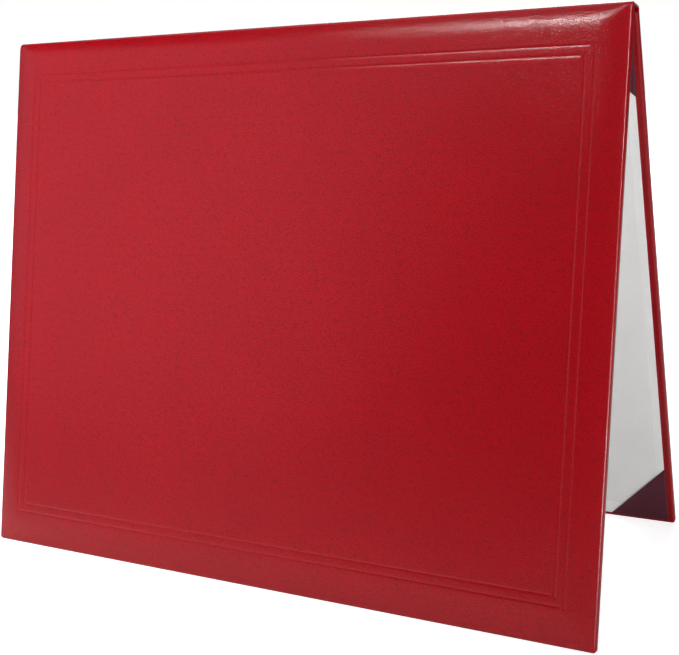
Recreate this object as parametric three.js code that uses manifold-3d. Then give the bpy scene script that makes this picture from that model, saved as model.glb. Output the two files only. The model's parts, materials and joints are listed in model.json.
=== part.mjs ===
// A padded leatherette diploma cover standing open as a tent: a front cover with a foam pad under its
// skin, a plain back cover lined in white with four corner pockets and a clear sheet, and the narrow
// spine strip between them. Millimetres, +Z up, X along the ridge, front cover towards -Y.
import * as THREE from "three";
import { mergeVertices } from "three/addons/utils/BufferGeometryUtils.js";
import Module from "manifold-3d";

const wasm = await Module();
wasm.setup();

// Clear sheet, cut to the document, and what the covers reach beyond it
const clearWidth = 279.4;
const clearHeight = 215.9;
const clearThickness = 0.15;
const sheetFromSides = 6.3;
const sheetFromFold = 11.2;
const sheetFromBottom = 8.9;

// Covers
const coverWidth = clearWidth + 2 * sheetFromSides;
const coverHeight = sheetFromFold + clearHeight + sheetFromBottom;
const boardThickness = 2;
const skinThickness = 0.45;
const layerGap = 0.15;
const turnIn = 16;
const turnInMitreGap = 0.3;
const outlineRadius = 1.6;
const edgeRadius = 0.9;

// Pad under the front skin
const padRise = 2.2;
const padTopReach = 10;
const padSideReach = 17;
const padInset = 4;
const padSteps = 10;

// Pressed double frame on the front
const frameFromTop = 14.5;
const frameFromSides = 13.4;
const frameFromBottom = 15.4;
const framePitch = 3.7;
const grooveWidth = 0.7;
const grooveDepth = 0.25;
const frameCornerGap = 1.6;
const frameOverrun = 0.9;

// Inside
const linerThickness = 0.2;
const linerFromSides = 3;
const linerFromBottom = 2.2;
const linerFromFold = 5;
const pocketAcross = 26;
const pocketDown = 28.5;
const pocketThickness = 0.3;

// Spine and folds
const liningThickness = 0.3;
const closedClearance = 0.25;
const foldClearance = 0.15;
const boardFoldClearance = 0.6;
const frontLean = THREE.MathUtils.degToRad(13.75);

// Stack through each cover, counted from its outer face
const boardOuter = skinThickness + layerGap;
const boardInner = boardOuter + boardThickness;
const coverThickness = boardInner + layerGap + skinThickness;
const linerInner = coverThickness + layerGap + linerThickness;
const clearInner = linerInner + layerGap + clearThickness;
const pocketInner = clearInner + layerGap + pocketThickness;
const spineWidth = linerInner + pocketInner + closedClearance;
const spineThickness = skinThickness + layerGap + liningThickness;
const skinFromFold = skinThickness + foldClearance;
const boardFromFold = spineThickness + boardFoldClearance;
const boardEdge = skinThickness + layerGap;

// Rest pose: the spine strip is square to the front cover and the back cover swings out to the floor
const foldRise = coverHeight * Math.cos(frontLean) + coverThickness * Math.sin(frontLean);
const backFoldRise = foldRise - spineWidth * Math.sin(frontLean);
const backLean = Math.atan2(coverThickness, coverHeight)
  + Math.acos(backFoldRise / Math.hypot(coverHeight, coverThickness));

const leatherette = new THREE.MeshStandardMaterial({ color: 0xa0161e, roughness: 0.45, metalness: 0 });
const greyboard = new THREE.MeshStandardMaterial({ color: 0x8f8a80, roughness: 0.95, metalness: 0 });
const foam = new THREE.MeshStandardMaterial({ color: 0xe8e6dd, roughness: 1, metalness: 0 });
const whitePaper = new THREE.MeshStandardMaterial({ color: 0xf2efec, roughness: 0.8, metalness: 0 });
const clearFilm = new THREE.MeshStandardMaterial({
  color: 0xf4f7f8, roughness: 0.08, metalness: 0, transparent: true, opacity: 0.3,
});

// Closed solid of a three.js geometry
function solid(geometry) {
  const bare = geometry.index ? geometry.toNonIndexed() : geometry.clone();
  bare.deleteAttribute("normal");
  bare.deleteAttribute("uv");
  const merged = mergeVertices(bare, 1e-4);
  return new wasm.Manifold(new wasm.Mesh({
    numProp: 3,
    vertProperties: new Float32Array(merged.attributes.position.array),
    triVerts: new Uint32Array(merged.index.array),
  }));
}

function toGeometry(manifold) {
  const mesh = manifold.getMesh();
  const geometry = new THREE.BufferGeometry();
  geometry.setAttribute("position", new THREE.BufferAttribute(mesh.vertProperties, 3));
  geometry.setIndex(new THREE.BufferAttribute(mesh.triVerts, 1));
  geometry.computeVertexNormals();
  return geometry;
}

// Box between two corners, in a cover's own frame: x along the fold, y inward from the outer face,
// z up, with the fold at z = 0 and the cover hanging below it
function block(x0, x1, y0, y1, z0, z1) {
  const geometry = new THREE.BoxGeometry(x1 - x0, y1 - y0, z1 - z0);
  return geometry.translate((x0 + x1) / 2, (y0 + y1) / 2, (z0 + z1) / 2);
}

// Height of a padded face at a distance from its edge: a parabola that flattens at the pad's reach
function crown(distance, reach, rise) {
  const share = Math.min(Math.max(distance / reach, 0), 1);
  return rise * (1 - (1 - share) ** 2);
}

// Half section of a padded face from its edge inwards, as [distance from edge, depth] pairs: a quarter
// round at the edge, carried on into the crown
function edgePoints(reach, rise, radius) {
  const points = [];
  for (let i = 0; i < 5; i += 1) {
    const angle = (i / 4) * (Math.PI / 2);
    const distance = radius * (1 - Math.cos(angle));
    points.push([distance, radius * (1 - Math.sin(angle)) - crown(distance, reach, rise)]);
  }
  for (let i = 1; i <= padSteps; i += 1) {
    const distance = radius + (reach - radius) * (i / padSteps);
    points.push([distance, -crown(distance, reach, rise)]);
  }
  return points;
}

// Section across a cover, extruded along the other direction
function sectionShape(from, to, startReach, endReach, rise, depth, inset) {
  const radius = Math.max(edgeRadius - inset, 0.2);
  const points = [];
  for (const [distance, y] of edgePoints(startReach, rise, radius)) {
    points.push(new THREE.Vector2(from + distance, y));
  }
  for (const [distance, y] of edgePoints(endReach, rise, radius).reverse()) {
    points.push(new THREE.Vector2(to - distance, y));
  }
  points.push(new THREE.Vector2(to, depth), new THREE.Vector2(from, depth));
  return new THREE.Shape(points.reverse());
}

// Padded slab: the common part of a section along x, a section along z and the cover's outline
function paddedSlab({ left, right, bottom, top, depth, rise, inset, shift }) {
  const across = new THREE.ExtrudeGeometry(
    sectionShape(left, right, padSideReach, padSideReach, rise, depth, inset),
    { depth: top - bottom, bevelEnabled: false },
  );
  across.translate(0, 0, bottom);
  const down = new THREE.ExtrudeGeometry(
    sectionShape(-top, -bottom, padTopReach, padSideReach, rise, depth, inset),
    { depth: right - left, bevelEnabled: false },
  );
  const axes = new THREE.Matrix4().makeBasis(
    new THREE.Vector3(0, 0, -1), new THREE.Vector3(0, 1, 0), new THREE.Vector3(1, 0, 0),
  );
  down.applyMatrix4(axes);
  down.translate(left, 0, 0);
  const face = plate({ left, right, bottom, top, outer: -2 * rise - 1, inner: depth + 1, inset });
  const slab = solid(across).intersect(solid(down)).intersect(solid(face));
  return slab.translate([0, shift, 0]);
}

// Flat plate with small round corners at its free edge, smaller by how far it lies inside the cover
function plate({ left, right, bottom, top, outer, inner, inset }) {
  const radius = outlineRadius - inset;
  const shape = new THREE.Shape();
  shape.moveTo(left, -top);
  shape.lineTo(right, -top);
  shape.lineTo(right, -bottom - radius);
  shape.absarc(right - radius, -bottom - radius, radius, 0, Math.PI / 2, false);
  shape.lineTo(left + radius, -bottom);
  shape.absarc(left + radius, -bottom - radius, radius, Math.PI / 2, Math.PI, false);
  shape.lineTo(left, -top);
  const geometry = new THREE.ExtrudeGeometry(
    shape, { depth: inner - outer, bevelEnabled: false, curveSegments: 4 },
  );
  geometry.rotateX(-Math.PI / 2);
  return geometry.translate(0, outer, 0);
}

// Leatherette skin of a cover: outer face, three folded edges and their turn-ins, open inside
function wrapSolid(rise) {
  const half = coverWidth / 2;
  const outer = paddedSlab({
    left: -half, right: half, bottom: -coverHeight, top: 0,
    depth: coverThickness, rise, inset: 0, shift: 0,
  });
  const hollow = paddedSlab({
    left: -half + skinThickness, right: half - skinThickness,
    bottom: -coverHeight + skinThickness, top: 0,
    depth: coverThickness - 2 * skinThickness, rise, inset: skinThickness, shift: skinThickness,
  });
  const window = solid(block(
    -half + turnIn, half - turnIn, boardInner, coverThickness + 1, -coverHeight + turnIn, 1,
  ));
  const foldEnd = solid(block(-coverWidth, coverWidth, -2 * rise - 1, coverThickness + 1, -skinFromFold, 1));
  const overFold = solid(block(
    -coverWidth, coverWidth, skinThickness, coverThickness + 1, -boardFromFold, 1,
  ));
  return outer.subtract(hollow).subtract(window).subtract(foldEnd).subtract(overFold);
}

// Cuts the mitred joints where the side turn-ins meet the bottom one
function mitreCutters() {
  const half = coverWidth / 2;
  const reach = (turnIn - outlineRadius) * Math.SQRT2 + 4;
  return [-1, 1].map((side) => {
    const slit = new THREE.BoxGeometry(reach, skinThickness + layerGap, turnInMitreGap);
    slit.translate(-reach / 2, 0, 0);
    slit.rotateY(side > 0 ? Math.PI / 4 : (3 * Math.PI) / 4);
    const corner = half - outlineRadius;
    slit.translate(side * corner, coverThickness, -coverHeight + outlineRadius);
    return solid(slit);
  });
}

// Pressed lines of the front, as prisms: two upright and two level bars for each of the two frames
function frameBars() {
  const bars = [];
  for (const step of [0, framePitch]) {
    const side = coverWidth / 2 - frameFromSides - step;
    const top = -frameFromTop - step;
    const bottom = -coverHeight + frameFromBottom + step;
    for (const x of [-side, side]) {
      bars.push(groove(x, x, bottom - frameOverrun, top + frameOverrun));
    }
    for (const z of [bottom, top]) {
      bars.push(groove(-side + frameCornerGap, side - frameCornerGap, z, z));
    }
  }
  return bars;
}

function groove(x0, x1, z0, z1) {
  const half = grooveWidth / 2;
  return block(x0 - half, x1 + half, -2 * padRise, boardOuter, z0 - half, z1 + half);
}

function frontWrapGeometry() {
  const half = coverWidth / 2;
  const bed = paddedSlab({
    left: -half, right: half, bottom: -coverHeight, top: 0,
    depth: coverThickness, rise: padRise, inset: 0, shift: grooveDepth,
  });
  let wrap = wrapSolid(padRise);
  for (const bar of frameBars()) {
    wrap = wrap.subtract(solid(bar).subtract(bed));
  }
  for (const slit of mitreCutters()) {
    wrap = wrap.subtract(slit);
  }
  return toGeometry(wrap);
}

function backWrapGeometry() {
  let wrap = wrapSolid(0);
  for (const slit of mitreCutters()) {
    wrap = wrap.subtract(slit);
  }
  return toGeometry(wrap);
}

// Foam pad: what the front skin leaves free above the board
function paddingGeometry() {
  const half = coverWidth / 2;
  const skin = skinThickness + layerGap;
  const room = paddedSlab({
    left: -half + skin, right: half - skin, bottom: -coverHeight + skin, top: 0,
    depth: 1, rise: padRise, inset: skin, shift: skin,
  });
  const seat = solid(block(
    -half + padInset, half - padInset, -2 * padRise, boardOuter - layerGap,
    -coverHeight + padInset, -padInset,
  ));
  return toGeometry(room.intersect(seat));
}

function boardGeometry() {
  const half = coverWidth / 2 - boardEdge;
  return plate({
    left: -half, right: half, bottom: -coverHeight + boardEdge, top: -boardFromFold,
    outer: boardOuter, inner: boardInner, inset: boardEdge,
  });
}

function linerGeometry() {
  const half = coverWidth / 2 - linerFromSides;
  return block(
    -half, half, coverThickness + layerGap, linerInner, -coverHeight + linerFromBottom, -linerFromFold,
  );
}

function clearSheetGeometry() {
  return block(
    -clearWidth / 2, clearWidth / 2, linerInner + layerGap, clearInner,
    -sheetFromFold - clearHeight, -sheetFromFold,
  );
}

// Corner pocket: a triangle of leatherette over the clear sheet, folded down round the liner's corner
function pocketGeometry(side, atTop) {
  const overhang = layerGap + pocketThickness;
  const corner = coverWidth / 2 - linerFromSides + overhang;
  const edge = atTop ? -linerFromFold + overhang : -coverHeight + linerFromBottom - overhang;
  const across = pocketAcross + overhang;
  const down = pocketDown + overhang;
  const outline = new THREE.Shape([
    new THREE.Vector2(0, 0), new THREE.Vector2(across, 0), new THREE.Vector2(0, down),
  ]);
  const face = new THREE.ExtrudeGeometry(outline, { depth: pocketThickness, bevelEnabled: false });
  const foldedDown = pocketInner - coverThickness - layerGap;
  const fold = new THREE.Shape([
    new THREE.Vector2(0, 0), new THREE.Vector2(across - 2 * overhang, 0),
    new THREE.Vector2(across - 2 * overhang, pocketThickness),
    new THREE.Vector2(pocketThickness, pocketThickness),
    new THREE.Vector2(pocketThickness, down - 2 * overhang), new THREE.Vector2(0, down - 2 * overhang),
  ]);
  const walls = new THREE.ExtrudeGeometry(fold, { depth: foldedDown, bevelEnabled: false });
  walls.translate(0, 0, pocketThickness - foldedDown);
  const inward = atTop ? -1 : 1;
  const place = new THREE.Matrix4().makeBasis(
    new THREE.Vector3(-side, 0, 0), new THREE.Vector3(0, 0, inward), new THREE.Vector3(0, 1, 0),
  );
  place.setPosition(side * corner, pocketInner - pocketThickness, edge);
  return toGeometry(solid(face).add(solid(walls)).transform(place.toArray()));
}

function spineSkinGeometry() {
  const half = coverWidth / 2;
  return block(-half, half, skinFromFold, spineWidth - skinFromFold, -skinThickness, 0);
}

function spineLiningGeometry() {
  const half = coverWidth / 2 - skinThickness;
  const low = skinThickness + layerGap;
  return block(-half, half, spineThickness, spineWidth - spineThickness, -low - liningThickness, -low);
}

function piece(name, geometry, material) {
  const mesh = new THREE.Mesh(geometry, material);
  mesh.name = name;
  return mesh;
}

// The front cover and the spine strip stand in one frame at the front fold
const frontCover = new THREE.Group();
frontCover.rotation.x = -frontLean;
frontCover.add(
  piece("front_wrap", frontWrapGeometry(), leatherette),
  piece("front_padding", paddingGeometry(), foam),
  piece("front_board", boardGeometry(), greyboard),
  piece("front_liner", linerGeometry(), whitePaper),
);

const spine = new THREE.Group();
spine.rotation.x = -frontLean;
spine.add(
  piece("spine_strip", spineSkinGeometry(), leatherette),
  piece("spine_lining", spineLiningGeometry(), leatherette),
);

// The back cover faces the other way about the vertical, so its inward depth points to the front
const backCover = new THREE.Group();
backCover.rotation.set(backLean, 0, Math.PI);
backCover.position.set(0, spineWidth * Math.cos(frontLean), -spineWidth * Math.sin(frontLean));
backCover.add(
  piece("back_wrap", backWrapGeometry(), leatherette),
  piece("back_board", boardGeometry(), greyboard),
  piece("back_liner", linerGeometry(), whitePaper),
  piece("clear_sheet", clearSheetGeometry(), clearFilm),
  piece("pocket_top_left", pocketGeometry(1, true), leatherette),
  piece("pocket_top_right", pocketGeometry(-1, true), leatherette),
  piece("pocket_bottom_left", pocketGeometry(1, false), leatherette),
  piece("pocket_bottom_right", pocketGeometry(-1, false), leatherette),
);

// Stood on its lower edges, with its footprint centred on the origin
const diplomaCover = new THREE.Group();
diplomaCover.add(frontCover, spine, backCover);
diplomaCover.updateMatrixWorld(true);
const extent = new THREE.Box3().setFromObject(diplomaCover, true);
const centre = extent.getCenter(new THREE.Vector3());
diplomaCover.position.set(0, -centre.y, -extent.min.z);

export default diplomaCover;
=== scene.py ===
import json
import math
from collections import namedtuple

import bpy
import numpy as np
from mathutils import Matrix, Vector

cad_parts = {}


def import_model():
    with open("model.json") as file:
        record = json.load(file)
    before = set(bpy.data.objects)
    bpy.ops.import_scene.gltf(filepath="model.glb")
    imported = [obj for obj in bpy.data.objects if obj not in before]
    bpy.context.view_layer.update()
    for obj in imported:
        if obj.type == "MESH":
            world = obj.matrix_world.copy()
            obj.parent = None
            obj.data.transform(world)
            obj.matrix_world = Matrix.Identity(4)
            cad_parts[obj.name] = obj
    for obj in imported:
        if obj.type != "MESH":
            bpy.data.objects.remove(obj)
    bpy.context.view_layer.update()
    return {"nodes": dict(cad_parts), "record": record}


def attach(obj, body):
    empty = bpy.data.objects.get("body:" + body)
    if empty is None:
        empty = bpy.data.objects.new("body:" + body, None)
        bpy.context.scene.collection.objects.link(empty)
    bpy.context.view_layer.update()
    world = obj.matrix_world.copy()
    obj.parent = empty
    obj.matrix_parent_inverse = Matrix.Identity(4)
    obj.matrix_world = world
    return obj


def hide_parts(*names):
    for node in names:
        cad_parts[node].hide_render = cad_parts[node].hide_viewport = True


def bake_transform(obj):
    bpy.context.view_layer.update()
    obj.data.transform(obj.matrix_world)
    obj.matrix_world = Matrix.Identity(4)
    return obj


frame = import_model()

MM = 0.001

# Covers
COVER_WIDTH = 292 * MM
COVER_HEIGHT = 236 * MM
COVER_THICKNESS = 3.2 * MM
SKIN_THICKNESS = 0.45 * MM
OUTLINE_RADIUS = 1.3 * MM
OUTER_ROUND = 0.9 * MM
INNER_ROUND = 1.1 * MM
HALF_WIDTH = COVER_WIDTH / 2

# Pad under the front skin
PAD_RISE = 2.1 * MM
PAD_TOP_REACH = 10.5 * MM
PAD_SIDE_REACH = 17 * MM
PAD_CORNER_BLEND = 0.35 * MM
SKIN_SWELL = 0.035 * MM

# Pressed double frame
FRAME_FROM_TOP = 15.2 * MM
FRAME_FROM_SIDES = 12.4 * MM
FRAME_FROM_BOTTOM = 15.4 * MM
FRAME_PITCH = 3.7 * MM
GROOVE_WIDTH = 0.42 * MM
GROOVE_DEPTH = 0.125 * MM
FRAME_CORNER_GAP = 1.6 * MM
FRAME_OVERRUN = 0.9 * MM
GROOVE_END = 0.35 * MM

# Inside
LINER_THICKNESS = 0.28 * MM
LINER_FROM_SIDES = 3 * MM
LINER_FROM_BOTTOM = 2.2 * MM
LINER_FROM_FOLD = 5 * MM
LINER_HALF_WIDTH = HALF_WIDTH - LINER_FROM_SIDES
LINER_SEAT_GAP = 0.02 * MM
LINER_ROUND = 0.1 * MM
TURN_IN = 16 * MM
TURN_IN_SHADOW = 0.03 * MM
MITRE_WIDTH = 0.25 * MM
MITRE_DEPTH = 0.18 * MM
CLEAR_WIDTH = 279.4 * MM
CLEAR_HEIGHT = 215.9 * MM
CLEAR_THICKNESS = 0.06 * MM
CLEAR_FROM_FOLD = 11.2 * MM
CLEAR_LIFT = 0.12 * MM
CLEAR_WAVE = 0.1 * MM
POCKET_ACROSS = 26.3 * MM
POCKET_DOWN = 28.8 * MM
POCKET_THICKNESS = 0.4 * MM
POCKET_OVERHANG = 0.4 * MM
POCKET_OVER_FILM = 0.22 * MM
POCKET_LIFT = 0.16 * MM
POCKET_HEM = 0.06 * MM
POCKET_HEM_WIDTH = 2.2 * MM
POCKET_LEG_ROUND = 0.5 * MM
POCKET_EDGE_ROUND = 0.2 * MM

# Folds
FOLD_PIECE_REACH = 2.8 * MM
SEAM_FROM = 2.7 * MM
STRIP_THICKNESS = 0.9 * MM
FOLD_ROUND = 1.0 * MM
RAMP_TOP = 1.6 * MM
RAMP_FOOT = 1.0 * MM
BEND_FROM = 1.3 * MM
SHARP_CORNER = math.radians(40)
RIDGE_LEFT_ROUND = 2.6 * MM
RIDGE_RIGHT_ROUND = 0.6 * MM

# A cover's own frame: the fold line, then across, inward from the outer face, and down from the fold
Cover = namedtuple("Cover", "fold across inward down")


def turned(vector, angle):
    """The vector turned about +X by the angle."""
    _, y, z = vector
    return np.array([
        0.0,
        y * math.cos(angle) - z * math.sin(angle),
        y * math.sin(angle) + z * math.cos(angle),
    ])


def cover_frames():
    """Both covers' frames from the two fold lines: at rest the spine strip is square to the front
    cover, and the back cover is turned away from the closed state by the back fold's lower limit."""
    joints = {joint["name"]: joint for joint in frame["record"]["behaviour"]["joints"]}
    front_fold = np.array(joints["front_fold"]["pos_m"])
    back_fold = np.array(joints["back_fold"]["pos_m"])
    opened = math.radians(-joints["back_fold"]["range_deg"][0])
    inward = (back_fold - front_fold) / np.linalg.norm(back_fold - front_fold)
    down = np.array([0.0, inward[2], -inward[1]])
    front = Cover(front_fold, np.array([1.0, 0.0, 0.0]), inward, down)
    back = Cover(back_fold, np.array([-1.0, 0.0, 0.0]), turned(-inward, opened), turned(down, opened))
    return front, back, opened


FRONT, BACK, OPENED = cover_frames()
SPINE_WIDTH = float(np.linalg.norm(BACK.fold - FRONT.fold))


def place(cover, x, depth, down):
    """Points of a cover: the fold line plus x across, depth inward and down along the cover."""
    x, depth, down = np.broadcast_arrays(x, depth, down)
    return (
        cover.fold
        + x[..., None] * cover.across
        + depth[..., None] * cover.inward
        + down[..., None] * cover.down
    )


# Curves of height and rounding
def smooth_step(value):
    """3t^2 - 2t^3 between 0 and 1."""
    t = np.clip(value, 0, 1)
    return t * t * (3 - 2 * t)


def smooth_min(a, b, width):
    """The smaller of a and b, with the kink between them rounded over width."""
    return (a + b - np.sqrt((a - b) ** 2 + width ** 2)) / 2


def round_off(distance, radius):
    """How far a quarter-round edge of this radius falls back at a distance from the edge."""
    reach = np.clip(radius - distance, 0, radius)
    return radius - np.sqrt(np.maximum(radius ** 2 - reach ** 2, 0))


def crown(distance, reach):
    """Parabola from nothing at the edge to the pad's full rise at its reach."""
    share = np.clip(distance / reach, 0, 1)
    return PAD_RISE * (1 - (1 - share) ** 2)


def pad_height(x, down):
    """Rise of the padded face: the smaller of the crowns from the sides, the bottom and the fold."""
    side = crown(HALF_WIDTH - np.abs(x), PAD_SIDE_REACH)
    bottom = crown(COVER_HEIGHT - down, PAD_SIDE_REACH)
    top = crown(down, PAD_TOP_REACH)
    ends = smooth_min(bottom, top, PAD_CORNER_BLEND)
    return np.maximum(smooth_min(side, ends, PAD_CORNER_BLEND), 0)


def swell(x, down):
    """Slow unevenness of the skin over the foam: a sum of four long sine waves."""
    waves = (
        np.sin(x / (23 * MM) + down / (61 * MM))
        + np.sin(down / (19 * MM) - x / (47 * MM) + 1.3)
        + 0.6 * np.sin((x + down) / (11 * MM) + 0.4)
        + 0.6 * np.sin((x - 2 * down) / (15 * MM) + 2.1)
    )
    return SKIN_SWELL * waves


def padded_rise(x, down):
    """The pad's height with the skin's unevenness, which fades out with the height."""
    rise = pad_height(x, down)
    return rise * (1 - swell(x, down) / PAD_RISE)


def pressed_line(offset, along, start, end):
    """One pressed line: a bell-shaped groove across, faded out at both ends."""
    across = np.exp(-((offset / GROOVE_WIDTH) ** 2))
    ends = smooth_step((along - start) / GROOVE_END) * smooth_step((end - along) / GROOVE_END)
    return across * ends


def frame_lines():
    """The two frames as (half width, top, bottom), counted from the fold."""
    lines = []
    for step in (0, FRAME_PITCH):
        lines.append((
            HALF_WIDTH - FRAME_FROM_SIDES - step,
            FRAME_FROM_TOP + step,
            COVER_HEIGHT - FRAME_FROM_BOTTOM - step,
        ))
    return lines


def pressed_frame(x, down):
    """Depth of the pressed double frame: the upright lines run past the level ones, which stop short."""
    depth = np.zeros(np.broadcast(x, down).shape)
    for half, top, bottom in frame_lines():
        for side in (-half, half):
            depth = np.maximum(
                depth, pressed_line(x - side, down, top - FRAME_OVERRUN, bottom + FRAME_OVERRUN)
            )
        for level in (top, bottom):
            depth = np.maximum(
                depth, pressed_line(down - level, x, FRAME_CORNER_GAP - half, half - FRAME_CORNER_GAP)
            )
    return GROOVE_DEPTH * depth


def outline_distance(x, down):
    """Distance inside the cover's outline, a rectangle with small round corners at its free edge."""
    qx = np.abs(x) - (HALF_WIDTH - OUTLINE_RADIUS)
    qd = down - (COVER_HEIGHT - OUTLINE_RADIUS)
    outside = np.hypot(np.maximum(qx, 0), np.maximum(qd, 0))
    inside = np.minimum(np.maximum(qx, qd), 0)
    return OUTLINE_RADIUS - outside - inside


def half_width_at(down):
    """Half the cover's width at a row, less near the round corners."""
    reach = np.clip(down - (COVER_HEIGHT - OUTLINE_RADIUS), 0, OUTLINE_RADIUS)
    return HALF_WIDTH - OUTLINE_RADIUS + np.sqrt(OUTLINE_RADIUS ** 2 - reach ** 2)


# Sample lines
def near_edge():
    """Distances from an edge, close together where it is round."""
    fine = np.linspace(0, 1, 15) ** 1.7 * 1.6 * MM
    return np.concatenate([fine, np.array([2.1, 2.8, 3.8, 5, 6.5, 8.3, 10.3, 12.3]) * MM])


def around(lines, reach, count):
    """Extra samples close to each line."""
    offsets = np.linspace(-reach, reach, count)
    return np.concatenate([line + offsets for line in lines]) if len(lines) else np.array([])


def merged(*groups, gap=0.02 * MM):
    """All samples in order, without near doubles."""
    values = np.sort(np.concatenate(groups))
    keep = np.concatenate([[True], np.diff(values) > gap])
    return values[keep]


def cover_columns(pressed):
    """Samples across a cover, mirrored about its middle."""
    edge = HALF_WIDTH - near_edge()
    inner = np.arange(0, HALF_WIDTH - 13 * MM, 3 * MM)
    lines = np.array([half for half, _, _ in frame_lines()]) if pressed else np.array([])
    ends = lines - FRAME_CORNER_GAP
    right = merged(edge, inner, around(lines, 0.8 * MM, 13), around(ends, 0.5 * MM, 5))
    return np.concatenate([-right[:0:-1], right])


def cover_rows(pressed):
    """Samples down a cover, from the end of the fold piece to the free edge."""
    edge = COVER_HEIGHT - near_edge()
    inner = np.arange(FOLD_PIECE_REACH, COVER_HEIGHT - 13 * MM, 3 * MM)
    fold = FOLD_PIECE_REACH + np.array([0, 0.12, 0.4, 0.8, 1.3, 1.9, 2.6, 3.5, 4.6, 5.8, 7.2]) * MM
    if not pressed:
        return merged(edge, inner, fold)
    lines = np.array([level for _, top, bottom in frame_lines() for level in (top, bottom)])
    top, bottom = lines[0], lines[1]
    ends = np.array([top - FRAME_OVERRUN, bottom + FRAME_OVERRUN])
    return merged(edge, inner, fold, around(lines, 0.8 * MM, 13), around(ends, 0.5 * MM, 5))


# Meshes
def closed_sheet(name, outer, inner):
    """A closed piece from two grids of points that face away from each other: the faces of each
    grid, and a band of faces all round between their edges."""
    rows, columns = outer.shape[:2]
    index = np.arange(rows * columns).reshape(rows, columns)
    a, b, c, d = index[:-1, :-1], index[1:, :-1], index[1:, 1:], index[:-1, 1:]
    front = np.stack([a, b, c, d], axis=-1).reshape(-1, 4)
    back = np.stack([a, d, c, b], axis=-1).reshape(-1, 4) + rows * columns
    rim = np.concatenate([index[0, :-1], index[:-1, -1], index[-1, :0:-1], index[:0:-1, 0]])
    following = np.roll(rim, -1)
    band = np.stack([rim, following, following + rows * columns, rim + rows * columns], axis=-1)
    vertices = np.concatenate([outer.reshape(-1, 3), inner.reshape(-1, 3)])
    return add_mesh(name, vertices, np.concatenate([front, back, band]))


def add_mesh(name, vertices, faces):
    """A smooth-shaded object at the origin from arrays of points and four-cornered faces."""
    mesh = bpy.data.meshes.new(name)
    mesh.vertices.add(len(vertices))
    mesh.vertices.foreach_set("co", vertices.astype(np.float32).ravel())
    mesh.loops.add(faces.size)
    mesh.loops.foreach_set("vertex_index", faces.astype(np.int32).ravel())
    mesh.polygons.add(len(faces))
    mesh.polygons.foreach_set("loop_start", np.arange(0, faces.size, 4, dtype=np.int32))
    mesh.polygons.foreach_set("use_smooth", np.ones(len(faces), dtype=bool))
    mesh.update(calc_edges=True)
    mesh.validate()
    mesh.set_sharp_from_angle(angle=SHARP_CORNER)
    item = bpy.data.objects.new(name, mesh)
    bpy.context.collection.objects.link(item)
    return item


def dress(item, material):
    """Gives a piece its finish."""
    item.data.materials.clear()
    item.data.materials.append(material)
    return item


def mitre_line(x, down):
    """Depth of the joint where the side and bottom turn-ins meet, at 45 degrees from the corner."""
    from_side = HALF_WIDTH - np.abs(x)
    from_bottom = COVER_HEIGHT - down
    near = np.exp(-(((from_side - from_bottom) / MITRE_WIDTH) ** 2))
    within = smooth_step((TURN_IN - from_side) / (0.5 * MM)) * smooth_step(from_side / (1.2 * MM))
    return MITRE_DEPTH * near * within


def cover_skin(name, cover, padded):
    """Skin of a cover below its fold piece: outer depth is the rounded edge less the pad's rise plus
    the pressed lines, inner depth the thickness less the rounded edge and the mitred joints."""
    x, down = np.meshgrid(cover_columns(padded), cover_rows(padded))
    x = x / HALF_WIDTH * half_width_at(down)
    distance = outline_distance(x, down)
    outer = round_off(distance, OUTER_ROUND)
    if padded:
        outer = outer - padded_rise(x, down) + pressed_frame(x, down)
    inner = COVER_THICKNESS - round_off(distance, INNER_ROUND) - mitre_line(x, down)
    return closed_sheet(name, place(cover, x, outer, down), place(cover, x, inner, down))


def joined_path(*stretches):
    """Straight stretches of (start, end, count) as one list of points, each joint written once."""
    parts = []
    for start, end, count in stretches:
        share = np.linspace(0, 1, count + 1)[:-1, None]
        parts.append(np.array(start) * (1 - share) + np.array(end) * share)
    parts.append(np.array([stretches[-1][1]]))
    return np.concatenate(parts)


def ridge_end(line, rightward):
    """How far the ends of the ridge fall back near the fold line, as a quarter round that is wider
    at the left end than at the right."""
    from_fold = np.linalg.norm(line, axis=1, keepdims=True)
    return np.where(
        rightward > 0, round_off(from_fold, RIDGE_RIGHT_ROUND), round_off(from_fold, RIDGE_LEFT_ROUND)
    )


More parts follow.
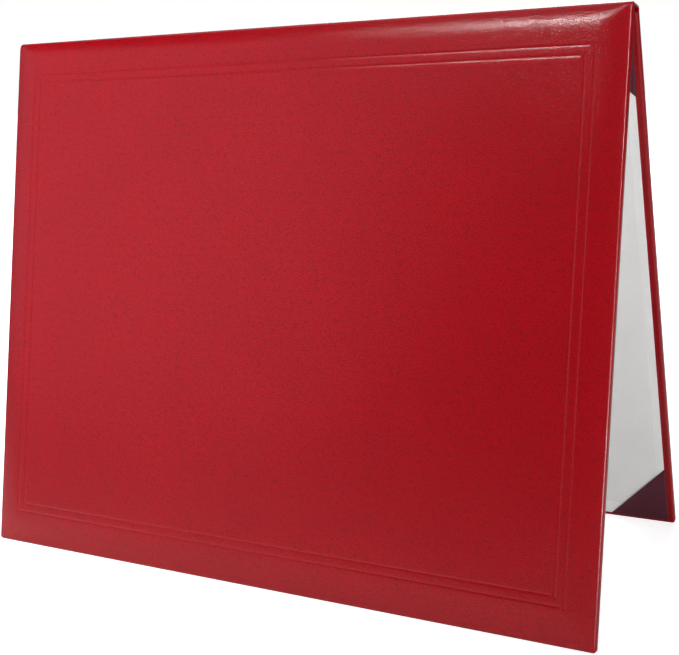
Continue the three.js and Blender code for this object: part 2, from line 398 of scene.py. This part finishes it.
def fold_skin(name, cover, turn, padded):
    """Skin over a fold, from the middle of the spine strip to the cover's own skin. In the cover's
    (depth, down) plane the strip leaves the fold at the given turn; the outer line is a quadratic
    curve round the fold, and the inner line slopes from the board's face to the thin strip."""
    along = np.array([math.cos(turn), -math.sin(turn)])
    under = np.array([math.sin(turn), math.cos(turn)])
    mid = SPINE_WIDTH / 2
    curve = np.linspace(0, 1, 9)[:-1, None]
    start, end = along * FOLD_ROUND, np.array([0, FOLD_ROUND])
    outer = np.concatenate([
        joined_path((along * mid, start, 6))[:-1],
        (1 - curve) ** 2 * start + curve ** 2 * end,
        joined_path((end, (0, SEAM_FROM), 12), ((0, SEAM_FROM), (0, FOLD_PIECE_REACH), 1)),
    ])
    thin = under * STRIP_THICKNESS
    ramp_foot = (STRIP_THICKNESS, RAMP_FOOT)
    ramp_top = (COVER_THICKNESS, RAMP_TOP)
    inner = joined_path(
        (along * mid + thin, along * RAMP_FOOT + thin, 6),
        (along * RAMP_FOOT + thin, ramp_foot, 8),
        (ramp_foot, ramp_top, 7),
        (ramp_top, (COVER_THICKNESS, FOLD_PIECE_REACH), 6),
    )
    columns = cover_columns(padded)
    x = np.broadcast_to(columns, (len(outer), len(columns)))
    edge = HALF_WIDTH - np.abs(x)
    rightward = x * cover.across[0]
    outer_x = x * (1 - ridge_end(outer, rightward) / HALF_WIDTH)
    inner_x = x * (1 - ridge_end(inner, rightward) / HALF_WIDTH)
    through = inner - outer
    thickness = np.linalg.norm(through, axis=1, keepdims=True)
    through = through / thickness
    most = 0.45 * thickness
    fall_out = round_off(edge, np.minimum(OUTER_ROUND, most))
    fall_in = round_off(edge, np.minimum(INNER_ROUND, most))
    outer_depth = outer[:, :1] + through[:, :1] * fall_out
    outer_down = outer[:, 1:] + through[:, 1:] * fall_out
    inner_depth = inner[:, :1] - through[:, :1] * fall_in
    inner_down = inner[:, 1:] - through[:, 1:] * fall_in
    if padded:
        below = np.maximum(outer[:, 1:], 0)
        on_cover = smooth_step(1 - outer[:, :1] / FOLD_ROUND)
        outer_depth = outer_depth - padded_rise(x, below) * on_cover
    return closed_sheet(
        name,
        place(cover, outer_x, outer_depth, outer_down),
        place(cover, inner_x, inner_depth, inner_down),
    )


def bend_points(cover, turn):
    """Where the bend of a fold starts on the cover and ends on the strip."""
    along = np.array([math.cos(turn), -math.sin(turn)])
    under = np.array([math.sin(turn), math.cos(turn)])
    start = np.array([SKIN_THICKNESS, BEND_FROM])
    end = along * BEND_FROM + under * SKIN_THICKNESS
    return place(cover, 0.0, start[0], start[1]), place(cover, 0.0, end[0], end[1])


def liner(name, cover):
    """White lining: a card of even thickness on the turn-ins, sunk inside them by a smooth step over
    the distance past their edge, with its own edges rounded."""
    half = LINER_HALF_WIDTH
    top, bottom = LINER_FROM_FOLD, COVER_HEIGHT - LINER_FROM_BOTTOM
    fine = np.array([0, 0.04, 0.1, 0.2, 0.4, 1, 2.5, 6, 11, 12.2, 12.7, 13, 13.3, 13.8, 15]) * MM
    columns = merged(-half + fine, half - fine, np.arange(-half + 18 * MM, half - 18 * MM, 6 * MM))
    rows = merged(top + fine, bottom - fine, np.arange(top + 18 * MM, bottom - 18 * MM, 6 * MM))
    x, down = np.meshgrid(columns, rows)
    edge = np.minimum(half - np.abs(x), np.minimum(down - top, bottom - down))
    inside = np.minimum(HALF_WIDTH - np.abs(x), COVER_HEIGHT - down) - TURN_IN
    sunk = TURN_IN_SHADOW * smooth_step(inside / (0.9 * MM) + 0.5)
    seat = COVER_THICKNESS - LINER_SEAT_GAP - sunk
    face = COVER_THICKNESS + LINER_THICKNESS - sunk - round_off(edge, LINER_ROUND)
    return closed_sheet(name, place(cover, x, np.minimum(seat, face), down), place(cover, x, face, down))


def clear_film():
    """Clear sheet: a thin film over the lining, raised in its middle by a tenth of a millimetre times
    a sum of two slow waves, and held flat at its edges by a fourth power."""
    half = CLEAR_WIDTH / 2
    top, bottom = CLEAR_FROM_FOLD, CLEAR_FROM_FOLD + CLEAR_HEIGHT
    columns = np.linspace(-half, half, 95)
    rows = np.linspace(top, bottom, 73)
    x, down = np.meshgrid(columns, rows)
    wave = (
        np.sin(x / (31 * MM) + 0.7) * np.cos(down / (43 * MM))
        + 0.5 * np.sin((x + 2 * down) / (59 * MM))
    )
    middle = (1 - (x / half) ** 4) * (1 - ((2 * down - top - bottom) / CLEAR_HEIGHT) ** 4)
    low = COVER_THICKNESS + LINER_THICKNESS + CLEAR_LIFT + CLEAR_WAVE * (1.2 + 0.6 * wave) * middle
    high = low + CLEAR_THICKNESS
    return closed_sheet("clear_film", place(BACK, x, low, down), place(BACK, x, high, down))


def pocket(name, side, at_top):
    """Corner pocket: a triangle of skin folded round the liner's corner, as a grid of distances from
    its two legs. Its face steps up over the film, lifts as a bell along the middle of its long edge,
    is thicker at the hem there, and falls back as a quarter round at every edge."""
    share = merged(np.linspace(0, 1, 15) ** 2.2, 1 - np.linspace(0, 0.12, 7) ** 1.3, gap=0.0005)
    from_edge = merged(
        near_edge() * 0.7, np.linspace(0, POCKET_DOWN * 0.996, 26), gap=0.03 * MM,
    )
    from_edge = from_edge[from_edge <= POCKET_DOWN]
    along, up = np.meshgrid(share, from_edge)
    across = along * POCKET_ACROSS * (1 - up / (POCKET_DOWN * 1.0005))
    legs = np.minimum(across, up)
    to_long_edge = (1 - across / POCKET_ACROSS - up / POCKET_DOWN) * POCKET_ACROSS * 0.7
    middle = np.exp(-((((across / POCKET_ACROSS) - (up / POCKET_DOWN)) / 0.45) ** 2))
    over_film = POCKET_OVER_FILM * smooth_step((legs - 1.5 * MM) / (4 * MM))
    lift = POCKET_LIFT * middle * np.exp(-to_long_edge / (5 * MM))
    hem = POCKET_HEM * smooth_step((POCKET_HEM_WIDTH - to_long_edge) / (0.8 * MM))
    rise = LINER_THICKNESS + POCKET_THICKNESS + over_film + lift + hem
    long_edge_round = round_off(np.maximum(to_long_edge, 0), POCKET_EDGE_ROUND)
    face = COVER_THICKNESS + rise - (round_off(legs, POCKET_LEG_ROUND) + long_edge_round)
    clear_of_legs = smooth_step((legs - 0.4 * MM) / (0.6 * MM))
    back = COVER_THICKNESS + np.maximum(rise - POCKET_THICKNESS, 0) * clear_of_legs
    back = np.minimum(back, face - 0.05 * MM)
    corner = LINER_HALF_WIDTH + POCKET_OVERHANG
    x = side * (corner - across)
    if at_top:
        down = LINER_FROM_FOLD - POCKET_OVERHANG + up
    else:
        down = COVER_HEIGHT - LINER_FROM_BOTTOM + POCKET_OVERHANG - up
    outer, inner = place(BACK, x, back, down), place(BACK, x, face, down)
    if (side > 0) == at_top:
        outer, inner = outer[:, ::-1], inner[:, ::-1]
    return closed_sheet(name, outer, inner)


# Materials
def new_material(name):
    """An empty node material with its output and a Principled shader, linked."""
    material = bpy.data.materials.new(name)
    material.use_nodes = True
    nodes = material.node_tree.nodes
    nodes.clear()
    output = nodes.new("ShaderNodeOutputMaterial")
    shader = nodes.new("ShaderNodeBsdfPrincipled")
    material.node_tree.links.new(shader.outputs["BSDF"], output.inputs["Surface"])
    return material, shader


def set_inputs(node, **values):
    """Sets a node's sockets by name, with _ for the spaces."""
    for name, value in values.items():
        node.inputs[name.replace("_", " ")].default_value = value
    return node


def add_node(material, kind, **values):
    """A new node with some of its sockets set."""
    return set_inputs(material.node_tree.nodes.new(kind), **values)


def link(material, source, target):
    material.node_tree.links.new(source, target)


def object_coordinates(material):
    return add_node(material, "ShaderNodeTexCoord").outputs["Object"]


def noise(material, coordinates, scale, detail=2.0, roughness=0.5):
    node = add_node(material, "ShaderNodeTexNoise", Scale=scale, Detail=detail, Roughness=roughness)
    link(material, coordinates, node.inputs["Vector"])
    return node.outputs["Fac"]


def ramp(material, value, low, high, start=0.0, end=1.0):
    """Maps low..high of a value to start..end, held at both ends."""
    node = add_node(material, "ShaderNodeMapRange")
    node.clamp = True
    for socket, number in zip(node.inputs[1:5], (low, high, start, end)):
        socket.default_value = number
    link(material, value, node.inputs["Value"])
    return node.outputs["Result"]


def combine(material, operation, first, second):
    """Math of two values, each a socket or a number."""
    node = add_node(material, "ShaderNodeMath")
    node.operation = operation
    for socket, value in zip(node.inputs, (first, second)):
        if isinstance(value, (int, float)):
            socket.default_value = value
        else:
            link(material, value, socket)
    return node.outputs["Value"]


def mix_colour(material, share, first, second):
    """Colour between two colours by share."""
    node = add_node(material, "ShaderNodeMix")
    node.data_type = "RGBA"
    link(material, share, node.inputs[0])
    node.inputs[6].default_value = (*first, 1)
    node.inputs[7].default_value = (*second, 1)
    return node.outputs[2]


def bump(material, height, distance, strength=1.0):
    node = add_node(material, "ShaderNodeBump", Distance=distance, Strength=strength)
    link(material, height, node.inputs["Height"])
    return node.outputs["Normal"]


# Finishes
LEATHER_RED = (0.318, 0.0019, 0.0062)
# Crease colour of the red leatherette: painted shade in the grain's creases
LEATHER_CREASE_SHADE = (0.11, 0.0008, 0.0022)
PLUM = (0.09, 0.014, 0.026)
# Crease colour of the plum leatherette: painted shade in the grain's creases
PLUM_CREASE_SHADE = (0.06, 0.009, 0.017)
PAPER = (0.86, 0.845, 0.83)
PAPER_LIGHT = (0.92, 0.91, 0.9)
PULP = (0.2, 0.18, 0.155)
PULP_LIGHT = (0.36, 0.34, 0.3)
FOAM_FACE = (0.86, 0.85, 0.8)
# Darker pit colour of the foam: painted shade
FOAM_PIT_SHADE = (0.62, 0.6, 0.54)
GRAIN_SCALE = 1050.0
GRAIN_DEPTH = 0.014 * MM
GRAIN_DRIFT = 0.0004
CREASE_REACH = 0.17
# How far the painted crease shade is mixed into the creases
CREASE_SHADE_SHARE = 0.45
CREASE_ROUGHNESS = 0.26
GRAIN_ROUGHNESS = 0.12
UNEVEN_SCALE = 1800.0
UNEVEN_SHARE = 3.8


def leatherette(name, light, crease_shade):
    """Fine pebbled vinyl: flat-topped grain about a millimetre across parted by narrow creases (the
    distance to the cell's edge, held past CREASE_REACH), with a finer unevenness added to its
    height; the creases are duller than the tops, and darker by a painted shade colour mixed in."""
    material, shader = new_material(name)
    coordinates = object_coordinates(material)
    drift = add_node(material, "ShaderNodeTexNoise", Scale=700.0, Detail=1.0)
    link(material, coordinates, drift.inputs["Vector"])
    shifted = add_node(material, "ShaderNodeMix")
    shifted.data_type = "VECTOR"
    shifted.inputs[0].default_value = GRAIN_DRIFT
    link(material, coordinates, shifted.inputs[4])
    link(material, drift.outputs["Color"], shifted.inputs[5])
    cells = add_node(material, "ShaderNodeTexVoronoi", Scale=GRAIN_SCALE)
    cells.feature = "DISTANCE_TO_EDGE"
    link(material, shifted.outputs[1], cells.inputs["Vector"])
    tops = ramp(material, cells.outputs["Distance"], 0.0, CREASE_REACH)
    uneven = noise(material, coordinates, UNEVEN_SCALE, 1.0)
    height = combine(material, "ADD", tops, combine(material, "MULTIPLY", uneven, UNEVEN_SHARE))
    link(material, bump(material, height, GRAIN_DEPTH), shader.inputs["Normal"])
    tone = ramp(material, noise(material, coordinates, 26.0, 3.0, 0.6), 0.3, 0.7, 0.9, 1.0)
    # Random tone times the crease mask: the creases take the darker colour as painted shade
    share = combine(material, "MULTIPLY", tone, ramp(material, tops, 0.0, 1.0, CREASE_SHADE_SHARE, 1.0))
    link(material, mix_colour(material, share, crease_shade, light), shader.inputs["Base Color"])
    gloss = ramp(material, tops, 0.0, 1.0, CREASE_ROUGHNESS, GRAIN_ROUGHNESS)
    link(material, gloss, shader.inputs["Roughness"])
    set_inputs(shader, IOR=1.45, Specular_IOR_Level=0.5)
    return material


def lining_paper():
    """Smooth white paper with a faint fibre mottle."""
    material, shader = new_material("lining_paper")
    coordinates = object_coordinates(material)
    fibre = noise(material, coordinates, 900.0, 4.0, 0.6)
    cloud = noise(material, coordinates, 60.0, 2.0)
    share = ramp(material, combine(material, "MULTIPLY", fibre, cloud), 0.1, 0.45)
    link(material, mix_colour(material, share, PAPER, PAPER_LIGHT), shader.inputs["Base Color"])
    link(material, bump(material, fibre, 0.01 * MM, 0.5), shader.inputs["Normal"])
    set_inputs(shader, Roughness=0.62)
    return material


def greyboard():
    """Grey pulp board with pale and dark flecks."""
    material, shader = new_material("greyboard")
    coordinates = object_coordinates(material)
    flecks = noise(material, coordinates, 700.0, 5.0, 0.7)
    share = ramp(material, flecks, 0.35, 0.65)
    link(material, mix_colour(material, share, PULP, PULP_LIGHT), shader.inputs["Base Color"])
    link(material, bump(material, flecks, 0.05 * MM), shader.inputs["Normal"])
    set_inputs(shader, Roughness=0.95)
    return material


def foam():
    """Open-cell foam, pitted all over; the darker pit colour, mixed in by the distance in the cells, is
    painted shade.
    """
    material, shader = new_material("foam")
    coordinates = object_coordinates(material)
    cells = add_node(material, "ShaderNodeTexVoronoi", Scale=1500.0)
    link(material, coordinates, cells.inputs["Vector"])
    colour = mix_colour(material, cells.outputs["Distance"], FOAM_FACE, FOAM_PIT_SHADE)
    link(material, colour, shader.inputs["Base Color"])
    link(material, bump(material, cells.outputs["Distance"], 0.2 * MM), shader.inputs["Normal"])
    set_inputs(shader, Roughness=1.0)
    return material


def film():
    """Clear film: nearly all let through, and more of it shown towards grazing angles, where its white
    colour is a painted reflection beside its real gloss.
    """
    material, shader = new_material("clear_film")
    coordinates = object_coordinates(material)
    ripple = noise(material, coordinates, 18.0, 1.0)
    link(material, bump(material, ripple, 0.6 * MM, 0.15), shader.inputs["Normal"])
    facing = add_node(material, "ShaderNodeLayerWeight", Blend=0.35)
    # Share shown rises towards grazing angles: the film's white colour there is a painted reflection
    shown = ramp(material, facing.outputs["Facing"], 0.0, 1.0, 0.02, 0.16)
    link(material, shown, shader.inputs["Alpha"])
    set_inputs(shader, Base_Color=(0.93, 0.95, 0.96, 1), Roughness=0.06, IOR=1.5)
    return material


# Pieces
red = leatherette("red_leatherette", LEATHER_RED, LEATHER_CREASE_SHADE)
plum = leatherette("plum_leatherette", PLUM, PLUM_CREASE_SHADE)
white = lining_paper()
board = greyboard()
soft_foam = foam()
clear = film()

front_skin = dress(cover_skin("front_skin", FRONT, True), red)
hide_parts("front_wrap")
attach(front_skin, "front_cover")

back_skin = dress(cover_skin("back_skin", BACK, False), red)
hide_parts("back_wrap")
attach(back_skin, "back_cover")

front_fold_skin = dress(fold_skin("front_fold_skin", FRONT, 0.0, True), red)
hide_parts("spine_strip")
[tuple(p) for p in bend_points(FRONT, 0.0)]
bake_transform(front_fold_skin)

back_fold_skin = dress(fold_skin("back_fold_skin", BACK, OPENED, False), red)
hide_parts("spine_lining")
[tuple(p) for p in bend_points(BACK, OPENED)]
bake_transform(back_fold_skin)

front_lining = dress(liner("front_lining", FRONT), white)
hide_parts("front_liner")
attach(front_lining, "front_cover")

back_lining = dress(liner("back_lining", BACK), white)
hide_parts("back_liner")
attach(back_lining, "back_cover")

film_sheet = dress(clear_film(), clear)
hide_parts("clear_sheet")
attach(film_sheet, "back_cover")

# The back cover's own x runs the other way from the row's, so its right pockets have side -1
for corner, side, at_top in (
    ("top_left", 1, True), ("top_right", -1, True), ("bottom_left", 1, False), ("bottom_right", -1, False),
):
    corner_pocket = dress(pocket(f"corner_pocket_{corner}", side, at_top), plum)
    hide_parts(f"pocket_{corner}")
    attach(corner_pocket, "back_cover")

for node_name, material in (
    ("front_board", board), ("back_board", board), ("front_padding", soft_foam),
):
    node = frame["nodes"][node_name]
    node.data.materials.clear()
    node.data.materials.append(material)


# Camera
PHOTO_WIDTH = 679
CAMERA_PLACE = (0.2589, -0.4398, 0.2258)
CAMERA_YAW = math.radians(29.22)
CAMERA_PITCH = math.radians(14.10)
CAMERA_ROLL = math.radians(-3.81)
FOCAL_PIXELS = 1173.0
SENSOR_WIDTH = 36.0


def camera():
    """Camera at the photograph's place, turned by yaw, pitch and roll."""
    cam = bpy.data.cameras.new("camera")
    cam.sensor_fit = "HORIZONTAL"
    cam.sensor_width = SENSOR_WIDTH
    cam.lens = FOCAL_PIXELS / PHOTO_WIDTH * SENSOR_WIDTH
    cam.clip_start = 0.01
    item = bpy.data.objects.new("camera", cam)
    bpy.context.collection.objects.link(item)
    turn = (
        Matrix.Rotation(CAMERA_YAW, 4, "Z")
        @ Matrix.Rotation(math.pi / 2 - CAMERA_PITCH, 4, "X")
        @ Matrix.Rotation(CAMERA_ROLL, 4, "Z")
    )
    item.matrix_world = Matrix.Translation(CAMERA_PLACE) @ turn
    bpy.context.scene.camera = item


# Light
def lamp(name, place_at, look_at, width, height, power, colour=(1, 1, 1)):
    """A rectangular soft light that faces a point."""
    light = bpy.data.lights.new(name, "AREA")
    light.shape = "RECTANGLE"
    light.size = width
    light.size_y = height
    light.energy = power
    light.color = colour
    item = bpy.data.objects.new(name, light)
    bpy.context.collection.objects.link(item)
    direction = Vector(look_at) - Vector(place_at)
    turn = direction.to_track_quat("-Z", "Y").to_matrix().to_4x4()
    item.matrix_world = Matrix.Translation(place_at) @ turn
    return item


def studio():
    """A narrow soft light from the front right thrown on the left half of the front, a small one
    above for the highlight on the padded top edge, a wide cool one on the left for the sheen there,
    a low one on the right that lights the inside, and two wide ones over the top and behind."""
    front_key = lamp("front_key", (0.78, -1.15, 0.80), (-0.33, 0, 0.16), 0.45, 0.45, 1.14)
    front_key.data.spread = math.radians(27)
    lamp("ridge_light", (-0.26, -1.0, 1.13), (0.05, 0, 0.2), 0.27, 0.12, 6.0)
    lamp("left_sheen", (-1.45, -1.25, 0.75), (0, 0, 0.1), 1.7, 1.3, 4.8, (0.93, 0.84, 1))
    lamp("right_low", (1.0, -0.85, 0.11), (0.1, 0, 0.0), 0.7, 0.18, 6.8)
    lamp("overhead", (-0.35, 0.30, 1.45), (0, 0, 0.15), 1.5, 1.2, 7.0)
    lamp("rear_fill", (-0.35, 1.50, 0.60), (0, 0, 0.1), 0.9, 0.7, 14)


def world():
    """Soft grey surroundings, white where the camera sees them."""
    item = bpy.data.worlds.new("surroundings")
    bpy.context.scene.world = item
    item.use_nodes = True
    nodes, links = item.node_tree.nodes, item.node_tree.links
    nodes.clear()
    output = nodes.new("ShaderNodeOutputWorld")
    shown = nodes.new("ShaderNodeBackground")
    shown.inputs["Color"].default_value = (1, 1, 1, 1)
    shown.inputs["Strength"].default_value = 1.0
    ambient = nodes.new("ShaderNodeBackground")
    ambient.inputs["Color"].default_value = (1, 1, 1, 1)
    ambient.inputs["Strength"].default_value = 0.05
    path = nodes.new("ShaderNodeLightPath")
    mix = nodes.new("ShaderNodeMixShader")
    links.new(path.outputs["Is Camera Ray"], mix.inputs[0])
    links.new(ambient.outputs[0], mix.inputs[1])
    links.new(shown.outputs[0], mix.inputs[2])
    links.new(mix.outputs[0], output.inputs[0])


def floor():
    """Pale floor, lifted towards white for the camera so that only the soft shadow is left on it."""
    size = 6.0
    corners = np.array([[-size, -size, 0], [size, -size, 0], [size, size, 0], [-size, size, 0]]) / 2
    corners[:, 2] = -0.02 * MM
    item = add_mesh("floor", corners, np.array([[0, 1, 2, 3]]))
    material, shader = new_material("pale_floor")
    set_inputs(shader, Base_Color=(0.9, 0.9, 0.9, 1), Roughness=0.9, Specular_IOR_Level=0.1)
    path = add_node(material, "ShaderNodeLightPath")
    distance = add_node(material, "ShaderNodeVectorMath")
    distance.operation = "LENGTH"
    link(material, object_coordinates(material), distance.inputs[0])
    towards_rim = ramp(material, distance.outputs["Value"], 0.3, 0.9, 0.76, 1.2)
    glow = combine(material, "MULTIPLY", path.outputs["Is Camera Ray"], towards_rim)
    link(material, glow, shader.inputs["Emission Strength"])
    set_inputs(shader, Emission_Color=(1, 1, 1, 1))
    item.data.materials.append(material)


camera()
studio()
world()
floor()
bpy.context.scene.view_settings.view_transform = "Standard"
